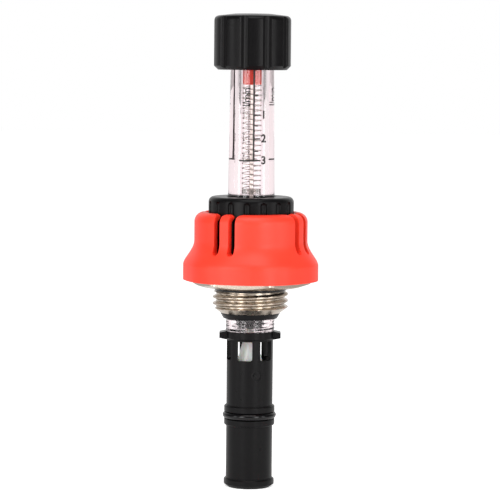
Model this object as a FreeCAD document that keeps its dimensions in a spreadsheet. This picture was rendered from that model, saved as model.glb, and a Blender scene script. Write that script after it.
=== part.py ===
import FreeCAD, Part
import math
import os
import re
import Sketcher

"""Screw-in flow meter (rotameter) for a heating manifold, in millimetres.

The frame's origin is on the meter's axis, at the face where the body's hexagon
meets the manifold.  +Z points up, to the cap, and the scale is read from -Y.
"""

Vector = FreeCAD.Vector
Z_AXIS = Vector(0, 0, 1)

SIZES = [
    # body: brass hexagon, thread and collar
    ("hex_flats", 30.0),
    ("hex_height", 7.5),
    ("hex_turn", 19.0),
    ("seat_height", 1.4),
    ("hex_chamfer_start", 13.9),
    ("hex_chamfer_rise", 1.2),
    ("thread_radius", 10.4775),
    ("thread_length", 4.3),
    ("neck_radius", 9.0),
    ("body_nose_radius", 8.3),
    ("body_length", 5.9),
    ("collar_radius", 9.6),
    ("collar_height", 6.0),
    ("body_seal_section", 1.1),
    # gland bush at the body's lower end
    ("gland_spigot_radius", 7.8),
    ("gland_spigot_length", 2.8),
    ("gland_flange_radius", 8.2),
    ("gland_tip_radius", 7.5),
    ("gland_flange_length", 1.5),
    ("gland_seal_section", 0.86),
    # clear stem and sight tube, one moulding
    ("stem_radius", 6.8),
    ("stem_gap", 0.06),
    ("stem_reach", 10.95),
    ("stem_shoulder", 17.0),
    ("swivel_neck_radius", 5.0),
    ("swivel_neck_length", 1.85),
    ("swivel_bead_radius", 5.35),
    ("swivel_bead_length", 0.6),
    ("lower_bore_radius", 4.0),
    ("lower_bore_length", 9.5),
    ("rod_passage_radius", 1.6),
    ("spring_seat_height", 27.0),
    ("tube_bore_radius", 3.15),
    ("tube_base_radius", 6.45),
    ("tube_tip_radius", 5.87),
    ("tube_top", 73.0),
    ("ring_groove_floor", 5.45),
    ("ring_groove_width", 2.2),
    ("ring_groove_height", 3.6),
    ("stem_ring_section", 1.35),
    # black insert that holds the rod in the middle of the stem
    ("rod_guide_length", 6.0),
    ("rod_radius", 0.6),
    ("rod_gap", 0.08),
    # handwheel
    ("wheel_radius", 11.8),
    ("wheel_bottom", 8.2),
    ("wheel_top", 26.35),
    ("wheel_edge_fillet", 1.4),
    ("wheel_wall", 1.6),
    ("wheel_roof", 2.6),
    ("wheel_hub_radius", 8.6),
    ("wheel_hub_bottom", 14.6),
    ("wheel_turn", -5.5),
    ("wheel_flutes", 16),
    ("wheel_flute_radius", 0.98),
    ("wheel_flute_offset", 0.22),
    ("wheel_flute_top", 25.3),
    # lock ring
    ("ring_radius", 15.7),
    ("ring_top", 22.0),
    ("ring_edge_fillet", 2.6),
    ("ring_mouth_radius", 12.15),
    ("ring_lip_height", 2.0),
    ("ring_wall", 1.9),
    ("ring_bottom", 3.2),
    ("ring_skirt_top", 7.5),
    ("ring_flare_top", 14.15),
    ("ring_corner_reach", 4.0),
    ("ring_corner_radius", 14.85),
    ("ring_pocket_gap", 0.15),
    ("ring_seat_gap", 0.1),
    ("ring_slot_width", 1.9),
    ("ring_slot_spacing", 4.55),
    ("ring_slot_bottom", 10.85),
    ("ring_slot_flare", 1.0),
    ("ring_slot_turn", -28.0),
    # cap
    ("cap_radius", 10.6),
    ("cap_cover", 11.7),
    ("cap_rise", 3.2),
    ("cap_crown", 0.5),
    ("cap_crown_radius", 5.0),
    ("cap_edge_fillet", 1.4),
    ("cap_foot_chamfer", 1.1),
    ("cap_wall", 1.5),
    ("cap_roof", 1.8),
    ("cap_lobes", 10),
    ("cap_turn", 5.0),
    ("cap_flute_radius", 2.2),
    ("cap_flute_offset", 1.6),
    ("cap_socket_wall", 1.2),
    ("cap_grip_gap", 0.05),
    # plug in the top of the sight tube
    ("plug_head_height", 1.2),
    ("plug_length", 6.5),
    ("plug_gap", 0.03),
    ("plug_ring_section", 0.9),
    # indicator, spring and rod
    ("indicator_radius", 2.6),
    ("indicator_drop", 15.8),
    ("indicator_length", 8.6),
    ("spring_mean_radius", 2.5),
    ("spring_wire_radius", 0.2),
    ("spring_turns", 22),
    # cone that the flow pushes down
    ("cone_tip_height", -10.1),
    ("cone_tip_radius", 0.9),
    ("cone_rim_radius", 4.3),
    ("cone_rim_height", -22.3),
    ("cone_rim_thickness", 0.7),
    ("cone_nut_radius", 1.5),
    ("cone_nut_height", 1.4),
    # outlet tube
    ("outlet_radius", 6.45),
    ("outlet_head_radius", 6.8),
    ("outlet_head_length", 2.2),
    ("outlet_top_gap", 0.1),
    ("outlet_bore_radius", 4.85),
    ("throat_radius", 4.45),
    ("throat_length", 1.0),
    ("swivel_gap", 0.06),
    ("window_top", -13.6),
    ("window_bottom", -18.95),
    ("window_width", 4.3),
    ("window_corner", 0.7),
    ("window_cavity_radius", 5.2),
    ("outlet_turn", 16.2),
    ("lug_reach", 8.5),
    ("lug_width", 4.4),
    ("lug_face", 1.5),
    ("lug_turn", -16.2),
    ("gate_mark_radius", 1.45),
    ("gate_mark_depth", 0.35),
    ("gate_mark_height", -22.9),
    ("seal_groove_height", -34.5),
    ("seal_groove_width", 2.2),
    ("seal_groove_floor", 5.55),
    ("seal_section", 1.9),
    ("seal_collar_radius", 7.05),
    ("seal_collar_width", 1.65),
    ("lip_radius", 7.0),
    ("lip_top", -52.2),
    ("lip_width", 1.6),
    ("lip_tip_radius", 5.9),
    ("outlet_bottom", -54.65),
]

ALIASES = {name for name, _ in SIZES}

doc = FreeCAD.newDocument("flow_meter")
sheet = doc.addObject("Spreadsheet::Sheet", "Sizes")
for row, (alias, value) in enumerate(SIZES, start=1):
    sheet.set(f"A{row}", alias.replace("_", " "))
    sheet.set(f"B{row}", str(value))
    sheet.setAlias(f"B{row}", alias)
doc.recompute()

PIECES = []


# ---------------------------------------------------------------- helpers

def linked(expression):
    """Turn the bare names of sizes in an expression into cells of the sheet."""
    return re.sub(r"[a-z]\w*", lambda word: "Sizes." + word.group()
                  if word.group() in ALIASES else word.group(), str(expression))


def size(expression):
    """The present value of an expression of named sizes."""
    return float(sheet.evalExpression(linked(expression)))


def bind(target, path, expression):
    """Drive one property from the sheet."""
    target.setExpression(path, linked(expression))


def piece(label):
    """A new body that becomes one physical piece of the meter."""
    body = doc.addObject("PartDesign::Body", label)
    body.Label = label
    PIECES.append(body)
    return body


def turn_body(body, angle):
    """Turn a finished body about the meter's axis."""
    body.Placement = FreeCAD.Placement(Vector(), FreeCAD.Rotation(Z_AXIS, 0))
    bind(body, "Placement.Rotation.Angle", f"({angle}) * 1deg")


def sketch_on(body, plane, name, turn=None, lift=None):
    """A sketch on one of the body's own planes, turned about Z or lifted off it."""
    sketch = body.newObject("Sketcher::SketchObject", name)
    datum = next(item for item in body.Origin.OriginFeatures if item.Role == plane)
    sketch.AttachmentSupport = [(datum, "")]
    sketch.MapMode = "FlatFace"
    if turn is not None:
        spin = FreeCAD.Rotation(Vector(0, 1, 0), 0)
        sketch.AttachmentOffset = FreeCAD.Placement(Vector(), spin)
        bind(sketch, "AttachmentOffset.Rotation.Angle", f"({turn}) * 1deg")
    if lift is not None:
        bind(sketch, "AttachmentOffset.Base.z", lift)
    return sketch


def pin_point(sketch, edge, end, place):
    """Fix one end of an edge at a place given by two expressions."""
    for kind, expression in zip(("DistanceX", "DistanceY"), place):
        index = sketch.addConstraint(Sketcher.Constraint(kind, edge, end, size(expression)))
        bind(sketch, f"Constraints[{index}]", expression)


def arc_through(start, end, radius, side):
    """An arc from start to end; side is +1 where it bulges to the left of the way."""
    chord = end - start
    half = chord.Length / 2
    sagitta = radius - math.sqrt(max(radius ** 2 - half ** 2, 0.0))
    left = Vector(-chord.y, chord.x, 0).normalize()
    middle = (start + end) / 2 + left * sagitta * side
    return Part.Arc(start, middle, end)


def outline(sketch, points):
    """Draw a closed outline from (x, y) or (x, y, arc radius, side) steps.

    A step with a radius is reached by an arc, any other by a straight line. A
    radius of None is a half circle between two places of the same height.
    """
    first = sketch.GeometryCount
    count = len(points)
    places = [Vector(size(step[0]), size(step[1]), 0) for step in points]
    for index, step in enumerate(points):
        start = places[index - 1]
        end = places[index]
        if len(step) == 4:
            radius = (end - start).Length / 2 if step[2] is None else size(step[2])
            curve = arc_through(start, end, radius, step[3])
        else:
            curve = Part.LineSegment(start, end)
        sketch.addGeometry(curve, False)
    ends = []
    for index, step in enumerate(points):
        flipped = len(step) == 4 and step[3] > 0
        ends.append((2, 1) if flipped else (1, 2))
    for index in range(count):
        following = (index + 1) % count
        sketch.addConstraint(Sketcher.Constraint(
            "Coincident", first + index, ends[index][1], first + following, ends[following][0]))
    for index, step in enumerate(points):
        pin_point(sketch, first + index, ends[index][1], step[:2])
        if len(step) == 4 and step[2] is None:
            level = sketch.addConstraint(
                Sketcher.Constraint("DistanceY", first + index, 3, size(step[1])))
            bind(sketch, f"Constraints[{level}]", step[1])
        elif len(step) == 4:
            radius = sketch.addConstraint(
                Sketcher.Constraint("Radius", first + index, size(step[2])))
            bind(sketch, f"Constraints[{radius}]", step[2])


def circle(sketch, radius, centre=("0", "0")):
    """A circle of a named radius."""
    middle = Vector(size(centre[0]), size(centre[1]), 0)
    index = sketch.addGeometry(Part.Circle(middle, Z_AXIS, size(radius)), False)
    limit = sketch.addConstraint(Sketcher.Constraint("Radius", index, size(radius)))
    bind(sketch, f"Constraints[{limit}]", radius)
    pin_point(sketch, index, 3, centre)


def polygon(sketch, corner_radius, sides, turn="0"):
    """A regular polygon of a named corner radius about the origin."""
    outline(sketch, [(f"({corner_radius}) * cos(({turn}) * 1deg + {360 * k / sides}deg)",
                      f"({corner_radius}) * sin(({turn}) * 1deg + {360 * k / sides}deg)")
                     for k in range(sides)])


def revolved(body, name, points, cut=False, turn=None):
    """A ring turned from a closed outline of (radius, height) steps."""
    sketch = sketch_on(body, "XZ_Plane", name + "_outline", turn)
    outline(sketch, points)
    kind = "PartDesign::Groove" if cut else "PartDesign::Revolution"
    feature = body.newObject(kind, name)
    feature.Profile = sketch
    feature.ReferenceAxis = (sketch, ["V_Axis"])
    feature.Angle = 360
    body.Tip = feature
    return feature


def extruded(body, name, sketch, length=None, cut=False, reverse=False, midplane=False):
    """A pad, or a pocket that goes right through when it has no length."""
    feature = body.newObject("PartDesign::Pocket" if cut else "PartDesign::Pad", name)
    feature.Profile = sketch
    feature.Reversed = reverse
    feature.Midplane = midplane
    if length is None:
        feature.Type = "ThroughAll"
    else:
        bind(feature, "Length", length)
    body.Tip = feature
    return feature


def repeated(body, name, features, count):
    """Repeat features evenly round the meter's axis."""
    pattern = body.newObject("PartDesign::PolarPattern", name)
    pattern.Originals = features
    z_axis = next(item for item in body.Origin.OriginFeatures if item.Role == "Z_Axis")
    pattern.Axis = (z_axis, [""])
    pattern.Angle = 360
    bind(pattern, "Occurrences", count)
    body.Tip = pattern
    return pattern


def seal_ring(label, middle_radius, section, height):
    """An O-ring: a torus at a height on the meter's axis."""
    ring = doc.addObject("Part::Torus", label)
    ring.Label = label
    bind(ring, "Radius1", middle_radius)
    bind(ring, "Radius2", f"({section}) / 2")
    bind(ring, "Placement.Base.z", height)
    PIECES.append(ring)
    return ring


# ---------------------------------------------------------------- body

HEX_CORNER = "hex_flats / 2 / cos(30)"
GLAND_SEAT = "gland_spigot_length - body_length + gland_seal_section + 0.1"


def make_threaded_body():
    """Brass body: hexagon, outside thread, collar and the bore for the stem."""
    body = piece("threaded_body")
    hexagon = sketch_on(body, "XY_Plane", "hexagon", lift="seat_height")
    polygon(hexagon, HEX_CORNER, 6, "hex_turn - 90")
    extruded(body, "hex_block", hexagon, "hex_height - seat_height")
    slope = f"hex_chamfer_rise / ({HEX_CORNER} - hex_chamfer_start)"
    outside = f"{HEX_CORNER} + 1"
    revolved(body, "underside_cone", [
        ("hex_chamfer_start", "seat_height"),
        (outside, "seat_height"),
        (outside, f"seat_height + ({outside} - hex_chamfer_start) * {slope}")], cut=True)
    revolved(body, "top_chamfer", [
        ("hex_flats / 2 - 0.4", "hex_height"),
        (outside, f"hex_height - ({outside} - hex_flats / 2 + 0.4) * tan(30)"),
        (outside, "hex_height")], cut=True)
    revolved(body, "neck_thread_and_collar", [
        ("stem_radius + stem_gap", "-body_length"),
        ("body_nose_radius", "-body_length"),
        ("thread_radius", "-thread_length"),
        ("thread_radius", "-0.4"),
        ("thread_radius - 0.4", "0"),
        ("neck_radius", "0"),
        ("neck_radius", "seat_height + 0.5"),
        ("collar_radius", "seat_height + 0.5"),
        ("collar_radius", "hex_height + collar_height - 0.5"),
        ("collar_radius - 0.5", "hex_height + collar_height"),
        ("stem_radius + stem_gap", "hex_height + collar_height")])
    revolved(body, "bore", [
        ("0", "-body_length - 1"),
        ("gland_spigot_radius", "-body_length - 1"),
        ("gland_spigot_radius", GLAND_SEAT),
        ("stem_radius + stem_gap", GLAND_SEAT),
        ("stem_radius + stem_gap", "hex_height + collar_height - 0.6"),
        ("stem_radius + stem_gap + 0.6", "hex_height + collar_height"),
        ("stem_radius + stem_gap + 0.6", "hex_height + collar_height + 1"),
        ("0", "hex_height + collar_height + 1")], cut=True)


def make_body_seal():
    """O-ring in the neck, between the hexagon and the thread."""
    seal_ring("body_seal", "neck_radius + body_seal_section / 2 + 0.02",
              "body_seal_section", "seat_height - 0.03 - body_seal_section / 2")


def make_gland_bush():
    """Black bush in the body's lower end that the stem slides through."""
    bush = piece("gland_bush")
    revolved(bush, "bush", [
        ("stem_radius + stem_gap", "-body_length - gland_flange_length"),
        ("gland_tip_radius", "-body_length - gland_flange_length"),
        ("gland_flange_radius", "-body_length - 0.25"),
        ("gland_flange_radius", "-body_length"),
        ("gland_spigot_radius - 0.02", "-body_length"),
        ("gland_spigot_radius - 0.02", "gland_spigot_length - body_length"),
        ("stem_radius + stem_gap", "gland_spigot_length - body_length")])


def make_gland_seal():
    """O-ring that the gland bush holds against the stem."""
    seal_ring("gland_seal", "(stem_radius + stem_gap + gland_spigot_radius) / 2",
              "gland_seal_section", f"{GLAND_SEAT} - 0.05 - gland_seal_section / 2")


# ---------------------------------------------------------------- regulator

def make_sight_tube():
    """Clear moulding: swivel neck, stem, and the sight tube with its bore."""
    tube = piece("sight_tube")
    neck_bottom = "-stem_reach - swivel_neck_length"
    tip = f"{neck_bottom} - swivel_bead_length"
    groove_low = "ring_groove_height - ring_groove_width / 2"
    groove_high = "ring_groove_height + ring_groove_width / 2"
    revolved(tube, "wall", [
        ("lower_bore_radius", tip),
        ("swivel_bead_radius - 0.3", tip),
        ("swivel_bead_radius", f"{tip} + 0.3"),
        ("swivel_bead_radius", neck_bottom),
        ("swivel_neck_radius", neck_bottom),
        ("swivel_neck_radius", "-stem_reach"),
        ("stem_radius", "-stem_reach"),
        ("stem_radius", groove_low),
        ("ring_groove_floor", groove_low),
        ("ring_groove_floor", groove_high),
        ("stem_radius", groove_high),
        ("stem_radius", "stem_shoulder"),
        ("tube_base_radius", "stem_shoulder"),
        ("tube_base_radius", "spring_seat_height"),
        ("tube_tip_radius", "tube_top"),
        ("tube_bore_radius", "tube_top"),
        ("tube_bore_radius", "spring_seat_height"),
        ("rod_passage_radius", "spring_seat_height"),
        ("rod_passage_radius", f"{tip} + lower_bore_length"),
        ("lower_bore_radius", f"{tip} + lower_bore_length")])


def make_stem_ring():
    """O-ring in the stem's groove, which wipes the body's bore."""
    seal_ring("stem_seal", "stem_radius + stem_gap - 0.06 - stem_ring_section / 2",
              "stem_ring_section", "ring_groove_height")


def make_rod_guide():
    """Black insert in the stem's lower bore that centres the rod."""
    guide = piece("rod_guide")
    top = "lower_bore_length - stem_reach - swivel_neck_length - swivel_bead_length"
    revolved(guide, "guide", [
        ("rod_radius + rod_gap", f"{top} - rod_guide_length"),
        ("lower_bore_radius - 0.6", f"{top} - rod_guide_length"),
        ("lower_bore_radius - 0.02", f"{top} - rod_guide_length + 0.6"),
        ("lower_bore_radius - 0.02", f"{top} - 0.02"),
        ("rod_radius + rod_gap", f"{top} - 0.02")])


def make_handwheel():
    """Fluted handwheel: a deep cup with a hub that seats on the stem's shoulder."""
    wheel = piece("handwheel")
    inner = "wheel_radius - wheel_wall"
    revolved(wheel, "cup", [
        (inner, "wheel_bottom"),
        ("wheel_radius", "wheel_bottom"),
        ("wheel_radius", "wheel_top - wheel_edge_fillet"),
        ("wheel_radius - wheel_edge_fillet", "wheel_top", "wheel_edge_fillet", -1),
        ("tube_base_radius + 0.6", "wheel_top"),
        ("tube_base_radius + 0.02", "wheel_top - 0.5"),
        ("tube_base_radius + 0.02", "stem_shoulder + 0.02"),
        ("stem_radius + 0.02", "stem_shoulder + 0.02"),
        ("stem_radius + 0.02", "wheel_hub_bottom"),
        ("wheel_hub_radius", "wheel_hub_bottom"),
        ("wheel_hub_radius", "wheel_top - wheel_roof"),
        (inner, "wheel_top - wheel_roof")])
    flute = sketch_on(wheel, "XZ_Plane", "flute_outline")
    axis_radius = "wheel_radius + wheel_flute_offset"
    outline(flute, [
        (axis_radius, "wheel_bottom - 1"),
        (f"{axis_radius} + wheel_flute_radius", "wheel_bottom - 1"),
        (f"{axis_radius} + wheel_flute_radius", "wheel_flute_top - wheel_flute_radius"),
        (axis_radius, "wheel_flute_top", "wheel_flute_radius", -1)])
    centre_line = flute.addGeometry(Part.LineSegment(
        Vector(size(axis_radius), size("wheel_bottom - 1"), 0),
        Vector(size(axis_radius), size("wheel_flute_top"), 0)), True)
    pin_point(flute, centre_line, 1, (axis_radius, "wheel_bottom - 1"))
    pin_point(flute, centre_line, 2, (axis_radius, "wheel_flute_top"))
    cut = wheel.newObject("PartDesign::Groove", "flute")
    cut.Profile = flute
    cut.ReferenceAxis = (flute, ["Axis0"])
    cut.Angle = 360
    repeated(wheel, "flutes", [cut], "wheel_flutes")
    turn_body(wheel, "wheel_turn - 90")


def make_top_plug():
    """Plug that closes the sight tube, with a groove for its O-ring."""
    plug = piece("top_plug")
    low = "tube_top - plug_length"
    groove = "tube_top - plug_length / 2"
    shank = "tube_bore_radius - plug_gap"
    floor = "tube_bore_radius - plug_ring_section - 0.02"
    half = "(plug_ring_section / 2 + 0.1)"
    revolved(plug, "plug", [
        ("0", low),
        (f"{shank} - 0.4", low),
        (shank, f"{low} + 0.4"),
        (shank, f"{groove} - {half}"),
        (floor, f"{groove} - {half}"),
        (floor, f"{groove} + {half}"),
        (shank, f"{groove} + {half}"),
        (shank, "tube_top"),
        ("tube_tip_radius - 0.3", "tube_top"),
        ("tube_tip_radius - 0.3", "tube_top + plug_head_height"),
        ("0", "tube_top + plug_head_height")])


def make_plug_ring():
    """O-ring round the top plug."""
    seal_ring("top_plug_seal", "tube_bore_radius - 0.01 - plug_ring_section / 2",
              "plug_ring_section", "tube_top - plug_length / 2")


# ---------------------------------------------------------------- indicator

INDICATOR_LOW = "(tube_top - indicator_drop)"
INDICATOR_HIGH = f"({INDICATOR_LOW} + indicator_length)"


def make_indicator():
    """Red sleeve that is read against the scale."""
    indicator = piece("indicator")
    revolved(indicator, "sleeve", [
        ("rod_radius + 0.02", INDICATOR_LOW),
        ("indicator_radius - 0.2", INDICATOR_LOW),
        ("indicator_radius", f"{INDICATOR_LOW} + 0.2"),
        ("indicator_radius", f"{INDICATOR_HIGH} - 0.5"),
        ("indicator_radius - 0.5", INDICATOR_HIGH),
        ("rod_radius + 0.02", INDICATOR_HIGH)])


CONE_NUT_BOTTOM = "cone_rim_height - cone_rim_thickness - cone_nut_height"


def make_rod():
    """Thin rod from the indicator down to the cone's nut."""
    rod = piece("indicator_rod")
    revolved(rod, "rod", [
        ("0", f"{CONE_NUT_BOTTOM} - 0.4"),
        ("rod_radius - 0.2", f"{CONE_NUT_BOTTOM} - 0.4"),
        ("rod_radius", f"{CONE_NUT_BOTTOM} - 0.2"),
        ("rod_radius", f"{INDICATOR_HIGH} + 0.6"),
        ("0", f"{INDICATOR_HIGH} + 0.6")])


def make_spring():
    """Return spring between the ledge in the tube and the indicator."""
    low = size("spring_seat_height") + size("spring_wire_radius")
    high = size(INDICATOR_LOW) - size("spring_wire_radius")
    turns = size("spring_turns")
    mean = size("spring_mean_radius")
    wire = size("spring_wire_radius")
    path = Part.makeHelix((high - low) / turns, high - low, mean)
    path.translate(Vector(0, 0, low))
    corners = [Vector(mean + wire * math.cos(math.radians(60 * k)), 0,
                      low + wire * math.sin(math.radians(60 * k))) for k in range(7)]
    section = Part.makePolygon(corners)
    coil = Part.Wire(path.Edges).makePipeShell([section], True, True)
    spring = doc.addObject("Part::Feature", "return_spring")
    spring.Label = "return_spring"
    spring.Shape = coil
    spring.Placement = FreeCAD.Placement()
    PIECES.append(spring)


def make_cone():
    """White cone on the rod, open at its underside."""
    cone = piece("baffle_cone")
    bore = "rod_radius + 0.02"
    under = "cone_rim_height - cone_rim_thickness"
    revolved(cone, "cone", [
        (bore, "cone_tip_height"),
        (bore, under),
        ("cone_rim_radius", under),
        ("cone_rim_radius", "cone_rim_height"),
        ("cone_tip_radius", "cone_tip_height")])


def make_cone_nut():
    """Nut under the cone that holds it on the rod."""
    nut = piece("cone_nut")
    sketch = sketch_on(nut, "XY_Plane", "nut_outline", lift=CONE_NUT_BOTTOM)
    polygon(sketch, "cone_nut_radius / cos(30)", 6)
    circle(sketch, "rod_radius + 0.02")
    extruded(nut, "nut", sketch, "cone_nut_height")


# ---------------------------------------------------------------- outlet tube

def make_outlet_tube():
    """Black outlet tube with inlet windows, an O-ring groove and a snap lip."""
    tube = piece("outlet_tube")
    top = "-stem_reach - outlet_top_gap"
    head_bottom = f"{top} - outlet_head_length"
    lip_low = "-stem_reach - swivel_neck_length + outlet_top_gap"
    seal_top = "seal_groove_height + seal_groove_width / 2"
    seal_low = "seal_groove_height - seal_groove_width / 2"
    revolved(tube, "wall", [
        ("swivel_neck_radius + swivel_gap", top),
        ("swivel_neck_radius + swivel_gap", lip_low),
        ("swivel_bead_radius + swivel_gap", lip_low),
        ("swivel_bead_radius + swivel_gap", "window_top"),
        ("window_cavity_radius", "window_top"),
        ("window_cavity_radius", "window_bottom"),
        ("throat_radius", "cone_rim_height"),
        ("throat_radius", "cone_rim_height - throat_length"),
        ("outlet_bore_radius", "cone_rim_height - throat_length - 0.6"),
        ("outlet_bore_radius", "outlet_bottom"),
        ("lip_tip_radius", "outlet_bottom"),
        ("lip_radius", "lip_top - lip_width"),
        ("lip_radius", "lip_top - 0.3"),
        ("lip_radius - 0.3", "lip_top"),
        ("outlet_radius", "lip_top"),
        ("outlet_radius", f"{seal_low} - seal_collar_width"),
        ("seal_collar_radius - 0.35", f"{seal_low} - seal_collar_width"),
        ("seal_collar_radius", f"{seal_low} - seal_collar_width + 0.35", "0.35", -1),
        ("seal_collar_radius", seal_low),
        ("seal_groove_floor", seal_low),
        ("seal_groove_floor", seal_top),
        ("seal_collar_radius", seal_top),
        ("seal_collar_radius", f"{seal_top} + seal_collar_width - 0.35"),
        ("seal_collar_radius - 0.35", f"{seal_top} + seal_collar_width", "0.35", -1),
        ("outlet_radius", f"{seal_top} + seal_collar_width"),
        ("outlet_radius", head_bottom),
        ("outlet_head_radius", f"{head_bottom} + 0.3"),
        ("outlet_head_radius", top)])
    window = sketch_on(tube, "XZ_Plane", "window_outline", turn="30")
    half = "window_width / 2"
    outline(window, [
        (f"-{half}", "window_top"),
        (f"-{half}", "window_bottom + window_corner"),
        (f"window_corner - {half}", "window_bottom", "window_corner", -1),
        (f"{half} - window_corner", "window_bottom"),
        (half, "window_bottom + window_corner", "window_corner", -1),
        (half, "window_top")])
    cut = extruded(tube, "window", window, "outlet_radius + 1", cut=True, reverse=True)
    repeated(tube, "windows", [cut], "6")
    lug = sketch_on(tube, "XZ_Plane", "lug_outline", turn="lug_turn")
    middle = f"{top} - outlet_head_length / 2"
    outline(lug, [
        ("outlet_head_radius - 0.5", head_bottom),
        ("outlet_head_radius", head_bottom),
        ("lug_reach", f"{middle} - lug_face / 2"),
        ("lug_reach", f"{middle} + lug_face / 2"),
        ("outlet_head_radius", top),
        ("outlet_head_radius - 0.5", top)])
    pad = extruded(tube, "lug", lug, "lug_width", midplane=True)
    repeated(tube, "lugs", [pad], "2")
    mark = sketch_on(tube, "XZ_Plane", "gate_mark_outline")
    bind(mark, "AttachmentOffset.Base.z", "outlet_radius - gate_mark_depth")
    circle(mark, "gate_mark_radius", ("0", "gate_mark_height"))
    circle(mark, "gate_mark_radius * 0.45", ("0", "gate_mark_height"))
    extruded(tube, "gate_mark", mark, "2", cut=True, reverse=True)
    turn_body(tube, "outlet_turn")


def make_outlet_ring():
    """O-ring between the outlet tube's two collars."""
    seal_ring("outlet_seal", "seal_groove_floor + seal_section / 2 + 0.02",
              "seal_section", "seal_groove_height")


# ---------------------------------------------------------------- lock ring and cap

CORNER_SPREAD = 25
FLAT_BULGE = round(math.sin(math.radians(30)) / math.sin(math.radians(30 - CORNER_SPREAD)), 6)


def rounded_hexagon(sketch, reach, corner):
    """A hexagon of twelve tangent arcs, its corners in line with the body's.

    reach is the distance of a corner arc's centre from the axis.  The arcs on
    the flats get rounder as it shrinks, so at zero the outline is a circle.
    """
    flat = f"({corner}) + ({reach}) * {FLAT_BULGE}"
    points = []
    for k in range(6):
        heading = f"(hex_turn - 90) * 1deg + {60 * k}deg"
        for spread, radius in ((-CORNER_SPREAD, flat), (CORNER_SPREAD, corner)):
            points.append((
                f"({reach}) * cos({heading}) + ({corner}) * cos({heading} + {spread}deg)",
                f"({reach}) * sin({heading}) + ({corner}) * sin({heading} + {spread}deg)",
                radius, -1))
    outline(sketch, points)


def flare_share(step):
    """How much of the skirt's size is left at a share of the flare's height."""
    eased = step ** 0.85
    return 1 - (3 * eased ** 2 - 2 * eased ** 3)


def make_lock_ring():
    """Lock ring: round above, flaring out to a rounded hexagon over the body."""
    ring = piece("lock_ring")
    skirt = sketch_on(ring, "XY_Plane", "skirt_outline", lift="ring_bottom")
    rounded_hexagon(skirt, "ring_corner_reach", "ring_corner_radius")
    extruded(ring, "skirt", skirt, "ring_skirt_top - ring_bottom")
    sections = []
    for step in (0, 0.12, 0.35, 0.6, 0.82, 1):
        share = round(flare_share(step), 4)
        height = f"ring_skirt_top + (ring_flare_top - ring_skirt_top) * {step}"
        section = sketch_on(ring, "XY_Plane", f"flare_outline_{len(sections)}", lift=height)
        corner = f"ring_radius + (ring_corner_radius - ring_radius) * {share}"
        rounded_hexagon(section, f"ring_corner_reach * {share}", corner)
        sections.append(section)
    flare = ring.newObject("PartDesign::AdditiveLoft", "flare")
    flare.Profile = sections[0]
    flare.Sections = sections[1:]
    flare.Ruled = False
    ring.Tip = flare
    revolved(ring, "barrel", [
        ("0", "ring_flare_top"),
        ("ring_radius", "ring_flare_top"),
        ("ring_radius", "ring_top - ring_edge_fillet"),
        ("ring_radius - ring_edge_fillet", "ring_top", "ring_edge_fillet", -1),
        ("0", "ring_top")])
    seat = "hex_height + ring_seat_gap"
    inner = "ring_radius - ring_wall"
    revolved(ring, "bore", [
        ("0", f"{seat} - 1"),
        (inner, f"{seat} - 1"),
        (inner, "ring_top - ring_lip_height"),
        ("ring_mouth_radius", "ring_top - ring_lip_height + 1"),
        ("ring_mouth_radius", "ring_top - 0.4"),
        ("ring_mouth_radius + 0.4", "ring_top"),
        ("ring_mouth_radius + 0.4", "ring_top + 1"),
        ("0", "ring_top + 1")], cut=True)
    pocket = sketch_on(ring, "XY_Plane", "pocket_outline", lift="ring_bottom")
    polygon(pocket, "(hex_flats / 2 + ring_pocket_gap) / cos(30)", 6, "hex_turn - 90")
    extruded(ring, "hex_pocket", pocket, f"{seat} - ring_bottom", cut=True, reverse=True)
    slot = sketch_on(ring, "XZ_Plane", "slot_outline", turn="ring_slot_turn")
    for side in (-1, 1):
        left = f"{side} * ring_slot_spacing / 2 - ring_slot_width / 2"
        right = f"{side} * ring_slot_spacing / 2 + ring_slot_width / 2"
        outline(slot, [
            (left, "ring_slot_bottom + ring_slot_width / 2"),
            (right, "ring_slot_bottom + ring_slot_width / 2", None, -1),
            (right, "ring_top - ring_slot_flare"),
            (f"{right} + ring_slot_flare", "ring_top", "ring_slot_flare", 1),
            (f"{right} + ring_slot_flare", "ring_top + 1"),
            (f"{left} - ring_slot_flare", "ring_top + 1"),
            (f"{left} - ring_slot_flare", "ring_top"),
            (left, "ring_top - ring_slot_flare", "ring_slot_flare", 1)])
    cut = extruded(ring, "slot_pair", slot, "ring_radius + 4", cut=True, reverse=True)
    repeated(ring, "slots", [cut], "4")


CAP_LOW = "(tube_top - cap_cover)"
CAP_HIGH = "(tube_top + cap_rise)"


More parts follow.
